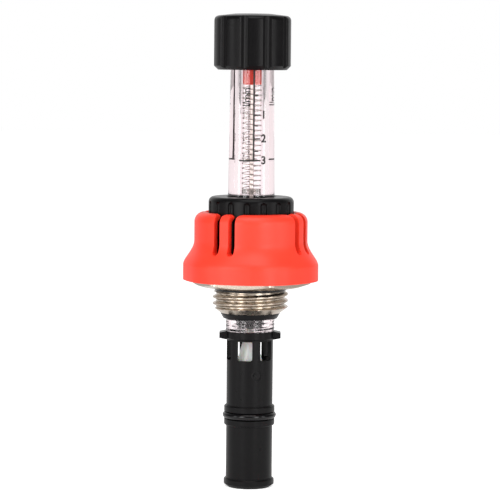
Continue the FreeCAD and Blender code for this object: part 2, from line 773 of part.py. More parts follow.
def make_cap():
    """Fluted cap: an outer shell round a socket that grips the sight tube."""
    cap = piece("cap")
    revolved(cap, "shell", [
        ("0", CAP_LOW),
        ("cap_radius - cap_foot_chamfer", CAP_LOW),
        ("cap_radius", f"{CAP_LOW} + cap_foot_chamfer"),
        ("cap_radius", f"{CAP_HIGH} - cap_edge_fillet"),
        ("cap_radius - cap_edge_fillet", CAP_HIGH, "cap_edge_fillet", -1),
        ("cap_crown_radius", f"{CAP_HIGH} + cap_crown"),
        ("0", f"{CAP_HIGH} + cap_crown")])
    flute = sketch_on(cap, "XY_Plane", "flute_outline", lift=f"{CAP_LOW} - 1")
    circle(flute, "cap_flute_radius", ("0", "-cap_radius - cap_flute_offset"))
    cut = extruded(cap, "flute", flute, f"{CAP_HIGH} - {CAP_LOW} + 3", cut=True, reverse=True)
    repeated(cap, "flutes", [cut], "cap_lobes")
    roof = f"{CAP_HIGH} - cap_roof"
    share = f"(tube_top - {CAP_LOW}) / (tube_top - spring_seat_height)"
    grip = f"tube_tip_radius + (tube_base_radius - tube_tip_radius) * {share} + cap_grip_gap"
    revolved(cap, "hollow", [
        (f"{grip} + cap_socket_wall", f"{CAP_LOW} - 1"),
        ("cap_radius - cap_wall", f"{CAP_LOW} - 1"),
        ("cap_radius - cap_wall", roof),
        (f"{grip} + cap_socket_wall", roof)], cut=True)
    revolved(cap, "socket", [
        ("0", f"{CAP_LOW} - 1"),
        (grip, f"{CAP_LOW} - 1"),
        (grip, "tube_top + plug_head_height + 0.1"),
        ("0", "tube_top + plug_head_height + 0.1")], cut=True)
    turn_body(cap, "cap_turn - 180 / cap_lobes")


# ---------------------------------------------------------------- build

def check_document():
    """Stop if any object failed to compute or any piece isn't one valid solid."""
    doc.recompute()
    for item in doc.Objects:
        if "Invalid" in item.State or "Error" in item.State:
            raise RuntimeError(f"{item.Name} failed: {item.State}")
    for item in PIECES:
        shape = item.Shape
        if shape.isNull() or not shape.isValid() or len(shape.Solids) != 1:
            raise RuntimeError(f"{item.Label} isn't one valid solid")


def write_parts():
    """Write each piece to its own STEP file."""
    os.makedirs("parts", exist_ok=True)
    for item in PIECES:
        item.Shape.exportStep(os.path.join("parts", item.Label + ".step"))
        print(f"{item.Label}: {item.Shape.Volume:.1f} mm3")


make_threaded_body()
make_body_seal()
make_gland_bush()
make_gland_seal()
make_sight_tube()
make_stem_ring()
make_rod_guide()
make_handwheel()
make_top_plug()
make_plug_ring()
make_indicator()
make_rod()
make_spring()
make_cone()
make_cone_nut()
make_outlet_tube()
make_outlet_ring()
make_lock_ring()
make_cap()
check_document()
write_parts()
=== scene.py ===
"""Looks of a screw-in flow meter: finishes, threads, spring, printed scale and studio."""

import math

import bmesh
import bpy
from bpy.props import FloatProperty, IntProperty, PointerProperty, StringProperty
from mathutils import Matrix, Vector


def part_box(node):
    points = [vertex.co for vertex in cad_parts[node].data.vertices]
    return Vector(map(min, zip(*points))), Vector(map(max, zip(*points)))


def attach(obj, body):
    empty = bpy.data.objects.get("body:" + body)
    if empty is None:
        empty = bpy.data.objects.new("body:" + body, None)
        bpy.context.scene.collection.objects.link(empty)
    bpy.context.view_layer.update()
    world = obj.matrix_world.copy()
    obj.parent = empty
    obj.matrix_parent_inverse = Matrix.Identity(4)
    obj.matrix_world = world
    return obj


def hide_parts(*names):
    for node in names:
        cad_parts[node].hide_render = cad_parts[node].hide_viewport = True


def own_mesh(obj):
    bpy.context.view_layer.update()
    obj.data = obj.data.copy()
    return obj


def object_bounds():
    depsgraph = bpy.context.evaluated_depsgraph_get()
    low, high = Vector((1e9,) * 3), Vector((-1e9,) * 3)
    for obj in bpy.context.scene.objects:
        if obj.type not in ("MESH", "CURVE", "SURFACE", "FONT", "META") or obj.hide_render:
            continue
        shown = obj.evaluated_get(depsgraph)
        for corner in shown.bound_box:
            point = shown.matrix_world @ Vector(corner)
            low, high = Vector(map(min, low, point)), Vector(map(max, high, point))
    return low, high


bl_info = {
    "name": "Flow Meter Finisher",
    "version": (1, 0, 0),
    "blender": (4, 5, 0),
    "location": "View3D > Sidebar > Flow Meter",
    "description": "Dresses the packed flow meter with threads, print and finishes",
    "category": "Object",
}

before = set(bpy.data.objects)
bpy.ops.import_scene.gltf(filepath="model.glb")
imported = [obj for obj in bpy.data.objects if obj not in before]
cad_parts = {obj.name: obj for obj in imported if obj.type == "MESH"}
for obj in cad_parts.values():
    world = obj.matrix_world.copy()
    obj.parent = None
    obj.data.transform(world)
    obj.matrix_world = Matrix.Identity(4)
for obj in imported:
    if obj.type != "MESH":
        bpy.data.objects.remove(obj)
CAD_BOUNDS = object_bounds()
MM = 0.001
BODY_LOW, BODY_HIGH = (Vector(corner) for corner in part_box("threaded_body"))
TUBE_LOW, TUBE_HIGH = (Vector(corner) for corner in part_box("sight_tube"))
SPRING_LOW, SPRING_HIGH = (Vector(corner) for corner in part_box("return_spring"))
FLOOR_HEIGHT = CAD_BOUNDS[0][2]


# ------------------------------------------------------------------ settings

class ThreadSizes(bpy.types.PropertyGroup):
    """Sizes of the brass body's pipe thread and the clear stem's thread."""

    pipe_pitch: FloatProperty(
        name="Pipe thread pitch", description="Distance between crests of the G 1/2 thread",
        default=1.814 * MM, precision=6, unit="LENGTH")
    pipe_crest: FloatProperty(
        name="Pipe thread crest radius", description="Radius over the crests",
        default=10.4775 * MM, precision=6, unit="LENGTH")
    pipe_depth: FloatProperty(
        name="Pipe thread depth", description="Crest radius less root radius",
        default=1.0 * MM, precision=6, unit="LENGTH")
    stem_pitch: FloatProperty(
        name="Stem thread pitch", description="Distance between crests on the clear stem",
        default=1.11 * MM, precision=6, unit="LENGTH")
    stem_depth: FloatProperty(
        name="Stem thread depth", description="Depth of the clear stem's thread",
        default=0.12 * MM, precision=6, unit="LENGTH")


class SpringSizes(bpy.types.PropertyGroup):
    """Sizes of the return spring."""

    wire: FloatProperty(
        name="Wire radius", description="Radius of the spring's wire",
        default=0.15 * MM, precision=6, unit="LENGTH")
    turns: IntProperty(name="Turns", description="Number of coils", default=24, min=4)
    closed: FloatProperty(
        name="Closed share", description="Share of the coils that lie close together at the seat",
        default=0.14, min=0.0, max=0.5)


class ScaleSizes(bpy.types.PropertyGroup):
    """Sizes of the scale that is printed on the sight tube."""

    copies: IntProperty(name="Copies", description="Scales round the tube", default=2, min=1)
    step: FloatProperty(
        name="Step", description="Angle from one scale to the next",
        default=math.radians(188.4), precision=4, subtype="ANGLE")
    line: FloatProperty(
        name="Line width", description="Width of the scale's long line",
        default=0.5 * MM, precision=6, unit="LENGTH")
    figure: FloatProperty(
        name="Figure height", description="Height of the scale's figures",
        default=2.2 * MM, precision=6, unit="LENGTH")


class Colours(bpy.types.PropertyGroup):
    """Colours of the finishes, as sRGB hex values."""

    black: StringProperty(
        name="Black nylon", description="Colour of the black mouldings", default="#0F0E0F")
    red: StringProperty(
        name="Red nylon", description="Colour of the lock ring", default="#F93A24")
    nickel: StringProperty(
        name="Nickel", description="Colour of the plated brass", default="#BAAEA0")
    indicator: StringProperty(
        name="Indicator", description="Colour of the red sleeve", default="#E43C24")
    floor: StringProperty(
        name="Floor", description="Colour of the floor", default="#FFFFFF")


# ------------------------------------------------------------------ small tools

def linear(text):
    """An sRGB hex value as a linear colour."""
    values = [int(text[at:at + 2], 16) / 255 for at in (1, 3, 5)]
    levels = (v / 12.92 if v <= 0.04045 else ((v + 0.055) / 1.055) ** 2.4 for v in values)
    return (*levels, 1.0)


def add_node(tree, kind, settings=None, **inputs):
    """Add a node, set its properties, and set or link its inputs.

    An input is given by its name, with _ for a space, or by its number, as _0.
    """
    node = tree.nodes.new(kind)
    for name, value in (settings or {}).items():
        setattr(node, name, value)
    for name, value in inputs.items():
        numbered = name.startswith("_")
        socket = node.inputs[int(name[1:]) if numbered else name.replace("_", " ")]
        if isinstance(value, bpy.types.NodeSocket):
            tree.links.new(value, socket)
        else:
            socket.default_value = value
    return node


def new_material(name):
    """An empty node material with its output node."""
    material = bpy.data.materials.new(name)
    material.use_nodes = True
    tree = material.node_tree
    tree.nodes.clear()
    return material, tree, add_node(tree, "ShaderNodeOutputMaterial")


def finish_mesh(name, mesh, material, body, angle):
    """Shade a mesh, make it an object in the frame and let it ride on a body.

    Edges sharper than the angle, in degrees, stay sharp.
    """
    mesh.materials.clear()
    mesh.materials.append(material)
    for polygon in mesh.polygons:
        polygon.use_smooth = True
        polygon.material_index = 0
    mesh.set_sharp_from_angle(angle=math.radians(angle))
    piece = bpy.data.objects.new(name, mesh)
    bpy.context.scene.collection.objects.link(piece)
    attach(piece, body)
    return piece


def ring_skin(name, profile, segments, start=0.0):
    """A closed solid skinned round the Z axis.

    profile(angle) gives the closed section there as (radius, height) points,
    as many at each angle.
    """
    mesh = bmesh.new()
    columns = []
    for step in range(segments):
        angle = start + 2 * math.pi * step / segments
        columns.append([mesh.verts.new((r * math.cos(angle), r * math.sin(angle), z))
                        for r, z in profile(angle)])
    rows = len(columns[0])
    for step in range(segments):
        here = columns[step]
        there = columns[(step + 1) % segments]
        for row in range(rows):
            above = (row + 1) % rows
            mesh.faces.new((here[row], there[row], there[above], here[above]))
    bmesh.ops.recalc_face_normals(mesh, faces=mesh.faces)
    data = bpy.data.meshes.new(name)
    mesh.to_mesh(data)
    mesh.free()
    return data


def thread_depth(angle, height, pitch, start, crest, root):
    """How far below the crest a right-hand thread lies there, from 0 to 1.

    crest and root are the shares of the pitch that are flat.
    """
    turn = (height - start) / pitch - angle / (2 * math.pi)
    away = abs(2 * (turn - math.floor(turn + 0.5)))
    share = min(max((away - crest) / (1 - crest - root), 0), 1)
    return share * share * (3 - 2 * share)


def fade(value, low, high):
    """Rise smoothly from 0 at low to 1 at high."""
    share = min(max((value - low) / (high - low), 0), 1)
    return share * share * (3 - 2 * share)


# ------------------------------------------------------------------ materials

def surface_grain(tree, size, height, detail=2):
    """Bump from moulding or casting grain of a real size in metres."""
    place = add_node(tree, "ShaderNodeTexCoord").outputs["Object"]
    noise = add_node(tree, "ShaderNodeTexNoise", Vector=place, Scale=1 / size, Detail=detail)
    return add_node(tree, "ShaderNodeBump", Strength=1.0, Distance=height,
                    Height=noise.outputs["Fac"])


def nylon(name, colour, roughness, spread=0.15, gleam=0.5):
    """Glass-filled nylon, moulded: satin, with a fine grain and faint flow marks."""
    material, tree, output = new_material(name)
    place = add_node(tree, "ShaderNodeTexCoord").outputs["Object"]
    flow = add_node(tree, "ShaderNodeTexNoise", Vector=place, Scale=1 / (6 * MM), Detail=3.0)
    base = linear(colour)
    dark = tuple(channel * (1 - spread) for channel in base[:3]) + (1,)
    pale = tuple(min(channel * (1 + spread), 1) for channel in base[:3]) + (1,)
    tone = add_node(tree, "ShaderNodeMix", {"data_type": "RGBA"})
    tree.links.new(flow.outputs["Fac"], tone.inputs["Factor"])
    tone.inputs[6].default_value = dark
    tone.inputs[7].default_value = pale
    gloss = add_node(tree, "ShaderNodeMapRange", Value=flow.outputs["Fac"],
                     To_Min=roughness - 0.05, To_Max=roughness + 0.06)
    grain = surface_grain(tree, 0.35 * MM, 0.006 * MM)
    shader = add_node(tree, "ShaderNodeBsdfPrincipled", Base_Color=tone.outputs[2],
                      Roughness=gloss.outputs["Result"], Normal=grain.outputs["Normal"], IOR=1.5)
    shader.inputs["Specular IOR Level"].default_value = gleam
    tree.links.new(shader.outputs[0], output.inputs["Surface"])
    return material


def nickel(name, colour):
    """Nickel-plated brass, turned: bright metal with fine tool lines round the axis."""
    material, tree, output = new_material(name)
    place = add_node(tree, "ShaderNodeTexCoord").outputs["Object"]
    height = add_node(tree, "ShaderNodeSeparateXYZ", Vector=place).outputs["Z"]
    along = add_node(tree, "ShaderNodeCombineXYZ", Z=height)
    lines = add_node(tree, "ShaderNodeTexNoise", Vector=along.outputs[0],
                     Scale=1 / (0.12 * MM), Detail=2.0)
    cloud = add_node(tree, "ShaderNodeTexNoise", Vector=place, Scale=1 / (4 * MM), Detail=3.0)
    rough = add_node(tree, "ShaderNodeMapRange", Value=cloud.outputs["Fac"],
                     To_Min=0.17, To_Max=0.28)
    bump = add_node(tree, "ShaderNodeBump", Strength=0.6, Distance=0.004 * MM,
                    Height=lines.outputs["Fac"])
    shader = add_node(tree, "ShaderNodeBsdfPrincipled", Base_Color=linear(colour),
                      Metallic=1.0, Roughness=rough.outputs["Result"],
                      Normal=bump.outputs["Normal"])
    tree.links.new(shader.outputs[0], output.inputs["Surface"])
    return material


def clear_plastic(name):
    """Clear amorphous nylon, moulded and polished: slightly warm, refracting, glossy."""
    material, tree, output = new_material(name)
    ripple = surface_grain(tree, 5 * MM, 0.01 * MM, detail=1)
    shader = add_node(tree, "ShaderNodeBsdfPrincipled", Base_Color=linear("#FDF8FA"),
                      IOR=1.51, Roughness=0.015, Normal=ripple.outputs["Normal"])
    shader.inputs["Transmission Weight"].default_value = 1.0
    tree.links.new(shader.outputs[0], output.inputs["Surface"])
    depth = add_node(tree, "ShaderNodeVolumeAbsorption", Color=(0.93, 0.82, 0.83, 1.0),
                     Density=85.0)
    tree.links.new(depth.outputs[0], output.inputs["Volume"])
    return material


def rubber(name):
    """Nitrile rubber, moulded: black, with a soft wet-looking sheen from its grease."""
    material, tree, output = new_material(name)
    grain = surface_grain(tree, 0.5 * MM, 0.01 * MM)
    shader = add_node(tree, "ShaderNodeBsdfPrincipled", Base_Color=linear("#0B0A0C"),
                      Roughness=0.18, Normal=grain.outputs["Normal"], IOR=1.52)
    shader.inputs["Specular IOR Level"].default_value = 0.3
    tree.links.new(shader.outputs[0], output.inputs["Surface"])
    return material


def acetal(name, colour, roughness=0.35, subsurface=0.2):
    """Acetal, moulded: an even colour with a little light passing under the surface."""
    material, tree, output = new_material(name)
    grain = surface_grain(tree, 0.6 * MM, 0.006 * MM)
    shader = add_node(tree, "ShaderNodeBsdfPrincipled", Base_Color=linear(colour),
                      Roughness=roughness, Normal=grain.outputs["Normal"], IOR=1.48)
    shader.inputs["Subsurface Weight"].default_value = subsurface
    shader.inputs["Subsurface Scale"].default_value = 0.6 * MM
    tree.links.new(shader.outputs[0], output.inputs["Surface"])
    return material


def steel(name, colour, roughness):
    """Stainless steel, drawn or ground: bright, with a fine grain."""
    material, tree, output = new_material(name)
    grain = surface_grain(tree, 0.2 * MM, 0.003 * MM)
    shader = add_node(tree, "ShaderNodeBsdfPrincipled", Base_Color=linear(colour),
                      Metallic=1.0, Roughness=roughness, Normal=grain.outputs["Normal"])
    tree.links.new(shader.outputs[0], output.inputs["Surface"])
    return material


def ink(name):
    """Pad-printed ink: flat black with slightly uneven cover."""
    material, tree, output = new_material(name)
    grain = surface_grain(tree, 0.15 * MM, 0.004 * MM)
    shader = add_node(tree, "ShaderNodeBsdfPrincipled", Base_Color=linear("#2A2624"),
                      Roughness=0.5, Normal=grain.outputs["Normal"])
    tree.links.new(shader.outputs[0], output.inputs["Surface"])
    return material


MATERIALS = {}


def material(name):
    """A finish by its maker's name, made the first time it is asked for."""
    colours = bpy.context.scene.meter_colours
    makers = {
        "black_nylon": lambda: nylon("black_nylon", colours.black, 0.29, gleam=0.13),
        "red_nylon": lambda: nylon("red_nylon", colours.red, 0.4, spread=0.04, gleam=0.4),
        "nickel_plate": lambda: nickel("nickel_plate", colours.nickel),
        "clear_nylon": lambda: clear_plastic("clear_nylon"),
        "nitrile": lambda: rubber("nitrile"),
        "white_acetal": lambda: acetal("white_acetal", "#FBFAF6"),
        "red_acetal": lambda: acetal("red_acetal", colours.indicator, roughness=0.28),
        "grey_acetal": lambda: acetal("grey_acetal", "#8A8A8C"),
        "drawn_steel": lambda: steel("drawn_steel", "#A39C92", 0.34),
        "ground_steel": lambda: steel("ground_steel", "#F2EEE6", 0.3),
        "print_ink": lambda: ink("print_ink"),
    }
    if name not in MATERIALS:
        MATERIALS[name] = makers[name]()
    return MATERIALS[name]


def dress(node, finish):
    """Give a CAD node's object its finish."""
    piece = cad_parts[node]
    for at in range(len(piece.material_slots)):
        piece.material_slots[at].material = material(finish)


# ------------------------------------------------------------------ operators

class METER_OT_mouldings(bpy.types.Operator):
    """Finish the black, red, white and grey mouldings and the seals"""

    bl_idname = "meter.mouldings"
    bl_label = "Finish the mouldings"

    def execute(self, context):
        finishes = {
            "cap": "black_nylon", "handwheel": "black_nylon", "outlet_tube": "black_nylon",
            "gland_bush": "black_nylon", "rod_guide": "black_nylon", "lock_ring": "red_nylon",
            "baffle_cone": "white_acetal", "indicator": "red_acetal", "top_plug": "grey_acetal",
            "body_seal": "nitrile", "gland_seal": "nitrile", "stem_seal": "nitrile",
            "top_plug_seal": "nitrile", "outlet_seal": "nitrile",
            "indicator_rod": "ground_steel", "cone_nut": "drawn_steel"}
        for node, finish in finishes.items():
            dress(node, finish)
        return {"FINISHED"}


HEX_FLATS = 30.0 * MM
HEX_CORNER_ANGLE = math.radians(19.0 - 90)
HEX_HEIGHT = 7.5 * MM
SEAT_HEIGHT = 1.4 * MM
HEX_CORNER_CUT = 16.85 * MM
HEX_CROWN = 14.6 * MM
CROWN_SLOPE = math.tan(math.radians(30))
CHAMFER_START = 13.9 * MM
CHAMFER_RISE = 1.2 * MM
CHAMFER_SLOPE = CHAMFER_RISE / (HEX_FLATS / 2 / math.cos(math.radians(30)) - CHAMFER_START)
CHAMFER_EASE = 0.15 * MM
CHAMFER_EASE_RISE = 0.08 * MM
HEX_EDGE = 0.12 * MM
HEX_EDGE_RISE = 0.1 * MM
NECK_RADIUS = 9.0 * MM
THREAD_LENGTH = 4.3 * MM
NOSE_RADIUS = 8.3 * MM
BODY_BOTTOM = BODY_LOW.z
BODY_TOP = BODY_HIGH.z
BORE_RADIUS = 6.86 * MM
GLAND_RADIUS = 7.8 * MM
GLAND_SEAT = -2.14 * MM
COLLAR_RADIUS = 9.6 * MM
COLLAR_CHAMFER = 0.5 * MM
BORE_CHAMFER = 0.6 * MM
PIPE_CREST_START = -4.257 * MM
PIPE_CREST_SHARE = 0.14
PIPE_ROOT_SHARE = 0.12
PIPE_RUN_OUT = 0.4 * MM
PIPE_ROWS = 64
BODY_SEGMENTS = 192


class METER_OT_body(bpy.types.Operator):
    """Build the brass body with its hexagon, chamfers and pipe thread"""

    bl_idname = "meter.body"
    bl_label = "Build the brass body"

    def execute(self, context):
        sizes = context.scene.meter_threads
        nose_slope = (sizes.pipe_crest - NOSE_RADIUS) / (-THREAD_LENGTH - BODY_BOTTOM)

        def section(angle):
            flat = math.pi / 3
            away = (angle - HEX_CORNER_ANGLE) % flat - flat / 2
            side = min(HEX_FLATS / 2 / math.cos(away), HEX_CORNER_CUT)
            edge = side - HEX_EDGE
            thread = []
            for row in range(PIPE_ROWS + 1):
                z = BODY_BOTTOM * (1 - row / PIPE_ROWS)
                cone = NOSE_RADIUS + (z - BODY_BOTTOM) * nose_slope
                relief = sizes.pipe_crest - max(0, z + PIPE_RUN_OUT)
                fall = thread_depth(angle, z, sizes.pipe_pitch, PIPE_CREST_START,
                                    PIPE_CREST_SHARE, PIPE_ROOT_SHARE)
                cut = sizes.pipe_crest - sizes.pipe_depth * fall
                thread.append((min(cone, relief, cut), z))
            return [
                (GLAND_RADIUS, BODY_BOTTOM), *thread,
                (NECK_RADIUS, 0), (NECK_RADIUS, SEAT_HEIGHT),
                (CHAMFER_START - CHAMFER_EASE, SEAT_HEIGHT),
                (CHAMFER_START + CHAMFER_EASE, SEAT_HEIGHT + CHAMFER_EASE_RISE),
                (edge, SEAT_HEIGHT + (edge - CHAMFER_START) * CHAMFER_SLOPE),
                (side, SEAT_HEIGHT + (side - CHAMFER_START) * CHAMFER_SLOPE + HEX_EDGE_RISE),
                (side, HEX_HEIGHT - (side - HEX_CROWN) * CROWN_SLOPE),
                (HEX_CROWN, HEX_HEIGHT), (COLLAR_RADIUS, HEX_HEIGHT),
                (COLLAR_RADIUS, BODY_TOP - COLLAR_CHAMFER),
                (COLLAR_RADIUS - COLLAR_CHAMFER, BODY_TOP),
                (BORE_RADIUS + BORE_CHAMFER, BODY_TOP),
                (BORE_RADIUS, BODY_TOP - BORE_CHAMFER),
                (BORE_RADIUS, GLAND_SEAT), (GLAND_RADIUS, GLAND_SEAT)]

        mesh = ring_skin("brass_body", section, BODY_SEGMENTS, start=HEX_CORNER_ANGLE)
        piece = finish_mesh("brass_body", mesh, material("nickel_plate"), "body",
                            angle=24)
        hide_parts("threaded_body")
        return {"FINISHED"}


STEM_RADIUS = 6.8 * MM
STEM_REACH = -10.95 * MM
STEM_SHOULDER = 17.0 * MM
STEM_TIP = TUBE_LOW.z
LOWER_BORE = 4.0 * MM
LOWER_BORE_TOP = STEM_TIP + 9.5 * MM
SWIVEL_NECK = 5.0 * MM
SWIVEL_TIP = 5.05 * MM
SWIVEL_BEAD = 5.35 * MM
SWIVEL_BEAD_LOW = STEM_TIP + 0.3 * MM
SWIVEL_BEAD_TOP = STEM_TIP + 0.6 * MM
SPRING_SEAT = 27.0 * MM
TUBE_BORE = 3.15 * MM
TUBE_BASE = 6.45 * MM
TUBE_TIP = 5.87 * MM
TUBE_TOP = TUBE_HIGH.z
ROD_PASSAGE = 1.6 * MM
RING_GROOVE = 3.6 * MM
RING_GROOVE_HALF = 1.1 * MM
RING_GROOVE_FLOOR = 5.45 * MM
STEM_THREAD_TOP = -5.4 * MM
STEM_CREST_START = -8.0 * MM
STEM_THREAD_SHARE = 0.05
STEM_FADE_IN = 0.3 * MM
STEM_FADE_OUT = 0.6 * MM
STEM_ROWS = 60
TUBE_SEGMENTS = 160


def tube_radius(height):
    """Outside radius of the tapering sight tube at a height."""
    share = (height - SPRING_SEAT) / (TUBE_TOP - SPRING_SEAT)
    return TUBE_BASE + (TUBE_TIP - TUBE_BASE) * share


class METER_OT_sight_tube(bpy.types.Operator):
    """Build the clear sight tube with its threaded stem"""

    bl_idname = "meter.sight_tube"
    bl_label = "Build the sight tube"

    def execute(self, context):
        sizes = context.scene.meter_threads
        low = STEM_REACH
        high = STEM_THREAD_TOP
        groove_low = RING_GROOVE - RING_GROOVE_HALF
        groove_high = RING_GROOVE + RING_GROOVE_HALF

        def section(angle):
            thread = []
            for row in range(STEM_ROWS + 1):
                z = low + (high - low) * row / STEM_ROWS
                ease = (fade(z, low, low + STEM_FADE_IN)
                        * (1 - fade(z, high - STEM_FADE_OUT, high)))
                fall = thread_depth(angle, z, sizes.stem_pitch, STEM_CREST_START,
                                    STEM_THREAD_SHARE, STEM_THREAD_SHARE)
                thread.append((STEM_RADIUS - sizes.stem_depth * fall * ease, z))
            return [
                (LOWER_BORE, STEM_TIP), (SWIVEL_TIP, STEM_TIP), (SWIVEL_BEAD, SWIVEL_BEAD_LOW),
                (SWIVEL_BEAD, SWIVEL_BEAD_TOP), (SWIVEL_NECK, SWIVEL_BEAD_TOP),
                (SWIVEL_NECK, STEM_REACH), *thread,
                (STEM_RADIUS, groove_low), (RING_GROOVE_FLOOR, groove_low),
                (RING_GROOVE_FLOOR, groove_high), (STEM_RADIUS, groove_high),
                (STEM_RADIUS, STEM_SHOULDER), (TUBE_BASE, STEM_SHOULDER), (TUBE_BASE, SPRING_SEAT),
                (TUBE_TIP, TUBE_TOP), (TUBE_BORE, TUBE_TOP), (TUBE_BORE, SPRING_SEAT),
                (ROD_PASSAGE, SPRING_SEAT), (ROD_PASSAGE, LOWER_BORE_TOP),
                (LOWER_BORE, LOWER_BORE_TOP)]

        mesh = ring_skin("clear_tube", section, TUBE_SEGMENTS)
        piece = finish_mesh("clear_tube", mesh, material("clear_nylon"), "regulator",
                            angle=30)
        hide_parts("sight_tube")
        return {"FINISHED"}


class METER_OT_spring(bpy.types.Operator):
    """Wind the return spring, close-coiled at its seat"""

    bl_idname = "meter.spring"
    bl_label = "Wind the spring"

    def execute(self, context):
        sizes = context.scene.meter_spring
        tree = bpy.data.node_groups.new("wound_spring", "GeometryNodeTree")
        face = tree.interface
        names = {}
        for label, kind, value in (
                ("Radius", "NodeSocketFloat", SPRING_HIGH.x - sizes.wire),
                ("Wire", "NodeSocketFloat", sizes.wire),
                ("Turns", "NodeSocketFloat", float(sizes.turns)),
                ("Low", "NodeSocketFloat", SPRING_LOW.z + sizes.wire),
                ("Length", "NodeSocketFloat", SPRING_HIGH.z - SPRING_LOW.z - 2 * sizes.wire),
                ("Closed", "NodeSocketFloat", sizes.closed)):
            names[label] = (face.new_socket(label, in_out="INPUT", socket_type=kind), value)
        face.new_socket("Geometry", in_out="OUTPUT", socket_type="NodeSocketGeometry")
        given = add_node(tree, "NodeGroupInput").outputs
        coil = add_node(tree, "GeometryNodeCurveSpiral", Resolution=28, Rotations=given["Turns"],
                        Start_Radius=given["Radius"], End_Radius=given["Radius"], Height=1.0)
        along = add_node(tree, "GeometryNodeSplineParameter").outputs["Factor"]
        open_part = add_node(tree, "ShaderNodeMapRange", Value=along, From_Min=given["Closed"])
        even = add_node(tree, "ShaderNodeMath", {"operation": "MULTIPLY"}, _0=along, _1=0.32)
        rest = add_node(tree, "ShaderNodeMath", {"operation": "MULTIPLY_ADD"},
                        _0=open_part.outputs["Result"], _1=0.68, _2=even.outputs[0])
        height = add_node(tree, "ShaderNodeMath", {"operation": "MULTIPLY_ADD"},
                          _0=rest.outputs[0], _1=given["Length"], _2=given["Low"])
        place = add_node(tree, "GeometryNodeInputPosition").outputs[0]
        split = add_node(tree, "ShaderNodeSeparateXYZ", Vector=place)
        joined = add_node(tree, "ShaderNodeCombineXYZ", X=split.outputs["X"], Y=split.outputs["Y"],
                          Z=height.outputs[0])
        moved = add_node(tree, "GeometryNodeSetPosition", Geometry=coil.outputs[0],
                         Position=joined.outputs[0])
        wire = add_node(tree, "GeometryNodeCurvePrimitiveCircle", Resolution=WIRE_SIDES,
                        Radius=given["Wire"])
        skin = add_node(tree, "GeometryNodeCurveToMesh", Curve=moved.outputs[0],
                        Profile_Curve=wire.outputs[0], Fill_Caps=True)
        end_tree(tree, skin.outputs[0], "drawn_steel")
        mesh = grown("spring", tree, names)
        piece = finish_mesh("spring", mesh, material("drawn_steel"), "regulator",
                            angle=60)
        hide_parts("return_spring")
        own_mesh(piece)
        return {"FINISHED"}


def end_tree(tree, geometry, finish):
    """End a geometry tree: real pieces, a finish and the output."""
    real = add_node(tree, "GeometryNodeRealizeInstances", Geometry=geometry)
    coated = add_node(tree, "GeometryNodeSetMaterial", Geometry=real.outputs[0],
                      Material=material(finish))
    output = add_node(tree, "NodeGroupOutput")
    tree.links.new(coated.outputs[0], output.inputs[0])


def grown(name, tree, inputs, base=None):
    """The plain mesh that a geometry tree makes with the given inputs."""
    holder = bpy.data.objects.new(name + "_maker", base or bpy.data.meshes.new(name + "_base"))
    bpy.context.scene.collection.objects.link(holder)
    maker = holder.modifiers.new("maker", "NODES")
    maker.node_group = tree
    for socket, value in inputs.values():
        maker[socket.identifier] = value
    bpy.context.view_layer.update()
    ready = holder.evaluated_get(bpy.context.evaluated_depsgraph_get())
    mesh = bpy.data.meshes.new_from_object(ready)
    mesh.name = name
    bpy.data.objects.remove(holder)
    return mesh


SCALE_MARKS = ((0.5, 54.4), (1, 49.0), (1.5, 46.05), (2, 42.5), (2.5, 39.1), (3, 36.5))
SPINE_ANGLE = math.radians(5.0)
PRINT_RADIUS = 6.1 * MM
WIRE_SIDES = 10
INK_RISE = 0.02 * MM
INK_SINK = 0.03 * MM
WELD = 0.002 * MM
SPINE_TOP = 62.5 * MM
TICK_LONG = 1.75 * MM
TICK_SHORT = 1.25 * MM
TICK_HALF = 0.19 * MM
FONT_SHARE = 1.38
FIGURE_PLACE = 2.78 * MM
FIGURE_WEIGHT = 0.11 * MM
FULL_LINE_LEFT = -4.0 * MM
FULL_LINE_SHARE = 0.9
UNIT_SIZE = 3.05 * MM
UNIT_PLACE = (-1.98 * MM, 53.9 * MM)
UNIT_SPACING = 0.87
UNIT_WEIGHT = 0.03 * MM


def printed(builder):
    """Wrap a flat print, in metres round and up the tube, on to the tube."""
    for vert in builder.verts:
        u, v, lift = vert.co
        radius = tube_radius(v) + (INK_RISE if lift > 0 else -INK_SINK)
        angle = SPINE_ANGLE + u / PRINT_RADIUS
        vert.co = (radius * math.sin(angle), -radius * math.cos(angle), v)


def bar(builder, left, right, low, high, steps=8):
    """A flat bar of the print, cut into steps so that it can bend."""
    rows = []
    for step in range(steps + 1):
        u = left + (right - left) * step / steps
        rows.append([builder.verts.new((u, v, w)) for v, w in
                     ((low, -1), (high, -1), (high, 1), (low, 1))])
    for here, there in zip(rows, rows[1:]):
        for at in range(4):
            after = (at + 1) % 4
            builder.faces.new((here[at], there[at], there[after], here[after]))
    builder.faces.new(rows[0])
    builder.faces.new(reversed(rows[-1]))


def words(builder, text, size, centre, turn=0.0, spacing=1.0, weight=0.0):
    """Add a word of the print, centred at a place and turned."""
    curve = bpy.data.curves.new("word", "FONT")
    curve.body = text
    curve.size = size
    curve.extrude = INK_RISE
    curve.offset = weight
    curve.space_character = spacing
    curve.resolution_u = 3
    curve.align_x = "CENTER"
    curve.align_y = "CENTER"
    holder = bpy.data.objects.new("word", curve)
    bpy.context.scene.collection.objects.link(holder)
    bpy.context.view_layer.update()
    ready = holder.evaluated_get(bpy.context.evaluated_depsgraph_get())
    mesh = bpy.data.meshes.new_from_object(ready)
    bpy.data.objects.remove(holder)
    mesh.transform(Matrix.Translation((centre[0], centre[1], 0)) @ Matrix.Rotation(turn, 4, "Z"))
    builder.from_mesh(mesh)


